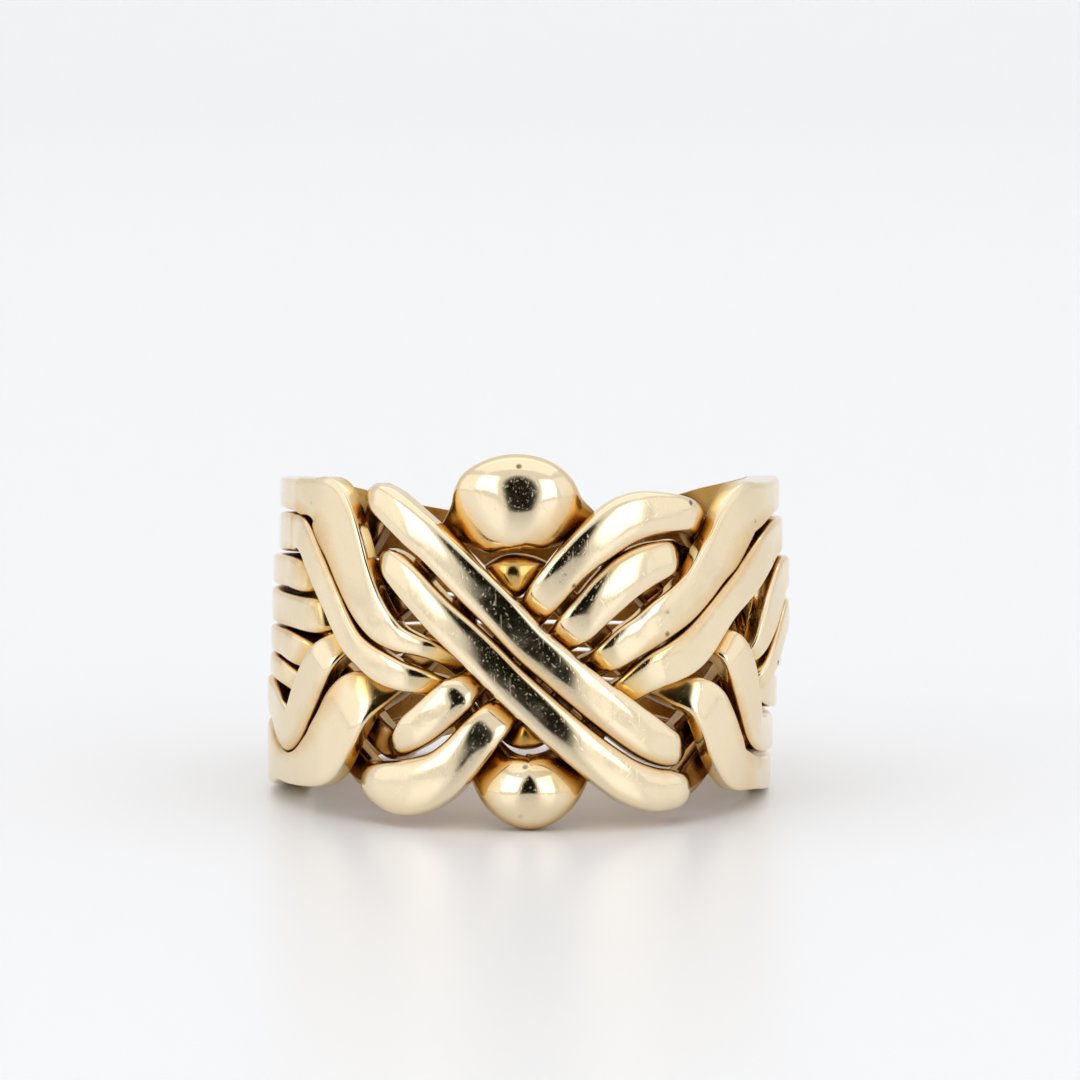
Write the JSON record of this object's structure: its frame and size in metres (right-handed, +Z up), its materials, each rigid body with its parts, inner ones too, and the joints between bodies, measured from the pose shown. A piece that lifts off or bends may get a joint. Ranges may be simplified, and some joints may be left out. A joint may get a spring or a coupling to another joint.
{
  "type": "puzzle ring",
  "caption": "Finger ring made of closed gold bands that interlock in a woven knot at the front, with crossing diagonal strands and round bosses above and below.",
  "frame": {"origin": "middle of the ring's footprint, on the surface it lies on", "axes": "+Z up, across the bands, close to the axis of the finger hole, which leans back by about six degrees; the knot faces -Y; +X to the right as seen from the knot"},
  "size_m": [0.0238, 0.0244, 0.0165],
  "materials": {
    "gold": "polished, with fine scratches"
  },
  "bodies": {
    "root": {"vee_band_small": "gold", "vee_band_big": "gold", "cross_band_upper": "gold", "cross_band_lower": "gold", "under_band_upper": "gold", "under_band_lower": "gold", "arch_band_big": "gold", "arch_band_small": "gold"}
  },
  "joints": []
}
